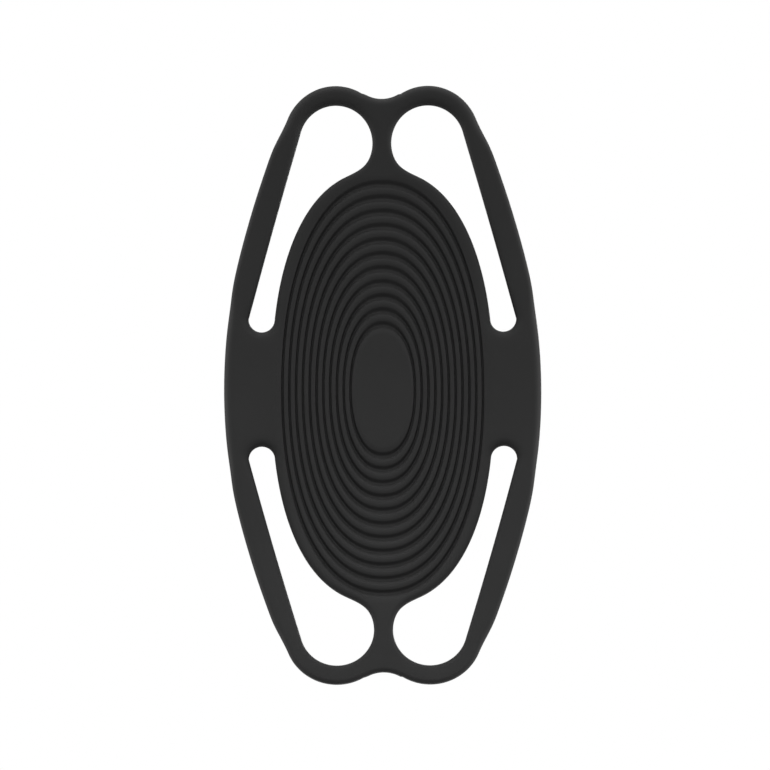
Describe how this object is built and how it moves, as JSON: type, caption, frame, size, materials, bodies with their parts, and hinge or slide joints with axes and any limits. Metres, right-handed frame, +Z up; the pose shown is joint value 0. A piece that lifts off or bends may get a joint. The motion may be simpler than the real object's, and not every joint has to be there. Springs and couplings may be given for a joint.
{
  "type": "phone mount",
  "caption": "Stretch phone holder with a ribbed oval pad and four corner loops, on a stepped turntable with a rubber handlebar strap.",
  "frame": {"origin": "centre of the handlebar in the middle of the grip", "axes": "+X along the handlebar, +Z up the phone, the phone faces -Y"},
  "size_m": [0.0688, 0.0692, 0.13],
  "materials": {
    "band_silicone": "matte moulded silicone",
    "strap_silicone": "matte moulded silicone",
    "liner_rubber": "soft grey rubber",
    "seal_rubber": "nitrile rubber",
    "nylon_black": "glass-filled nylon, fine texture",
    "acetal_white": "smooth acetal",
    "stainless": "satin stainless steel",
    "bright_steel": "polished bearing steel",
    "zinc_steel": "zinc-plated steel",
    "brass": "knurled brass"
  },
  "bodies": {
    "base": {"detent_spring_left": "zinc_steel", "detent_spring_right": "zinc_steel", "friction_washer": "acetal_white", "dust_seal": "seal_rubber", "pivot_screw": "stainless", "disc_spring": "zinc_steel", "pivot_nut": "zinc_steel", "base_housing": "nylon_black", "saddle_pad": "liner_rubber", "strap_pin": "stainless", "strap_wrap": "strap_silicone", "strap_hook": "stainless", "hook_screws": "stainless"},
    "carrier": {"turntable": "nylon_black", "detent_ring": "zinc_steel", "carrier_screws": "stainless", "threaded_inserts": "brass", "insert_plate": "nylon_black", "phone_band": "band_silicone"},
    "detent_balls": {"detent_ball_left": "bright_steel", "detent_ball_right": "bright_steel"},
    "strap_end": {"strap_tab": "strap_silicone"}
  },
  "joints": [
    {"name": "swivel", "type": "hinge", "parent": "base", "child": "carrier", "pos_m": [0, 0, 0], "axis": [0, -1, 0], "continuous": true},
    {"name": "detent_travel", "type": "slide", "parent": "base", "child": "detent_balls", "axis": [0, 1, 0], "range_m": [0, 0.0008], "stiffness_N_per_m": 800, "deforming": ["detent_spring_left", "detent_spring_right"]},
    {"name": "strap_peel", "type": "hinge", "parent": "base", "child": "strap_end", "pos_m": [0, 0, 0.01892], "axis": [-1, 0, 0], "range_deg": [0, 110], "stiffness_Nm_per_rad": 0.005}
  ]
}
